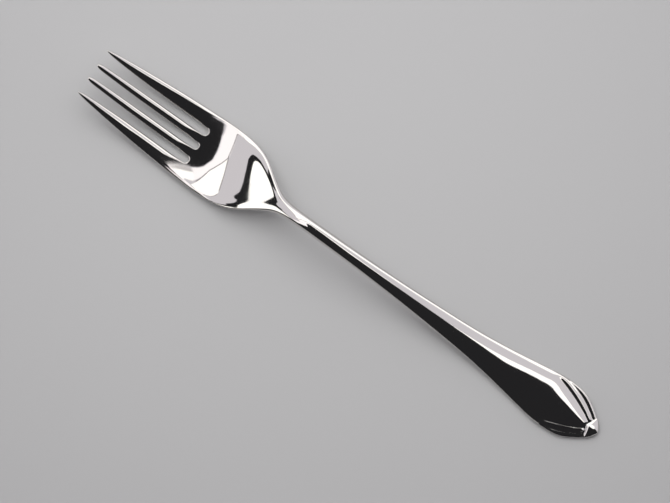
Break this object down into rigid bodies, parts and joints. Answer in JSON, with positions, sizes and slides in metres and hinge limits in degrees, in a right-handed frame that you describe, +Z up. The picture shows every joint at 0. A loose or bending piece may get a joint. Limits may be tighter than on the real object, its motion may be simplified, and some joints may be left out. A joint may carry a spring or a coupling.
{
  "type": "dinner fork",
  "caption": "Polished stainless steel dinner fork with long slim tines, a dished palm, an arched neck and a handle that ends in a leaf between petals and a small bud.",
  "frame": {"origin": "on the table under the middle of the fork's box, with the fork lying face up", "axes": "+X from the tine tips to the end of the handle, +Z up, out of the face that the food lies on; +Y is the user's right"},
  "size_m": [0.205, 0.0256, 0.0168],
  "materials": {
    "polished_steel": "mirror polished 18/10 stainless steel"
  },
  "bodies": {
    "root": {"tine_outer_left": "polished_steel", "tine_inner_left": "polished_steel", "tine_inner_right": "polished_steel", "tine_outer_right": "polished_steel", "palm": "polished_steel", "neck": "polished_steel", "handle": "polished_steel", "leaf": "polished_steel", "petal_inner_left": "polished_steel", "petal_inner_right": "polished_steel", "petal_outer_left": "polished_steel", "petal_outer_right": "polished_steel", "tip_bud": "polished_steel"}
  },
  "joints": []
}
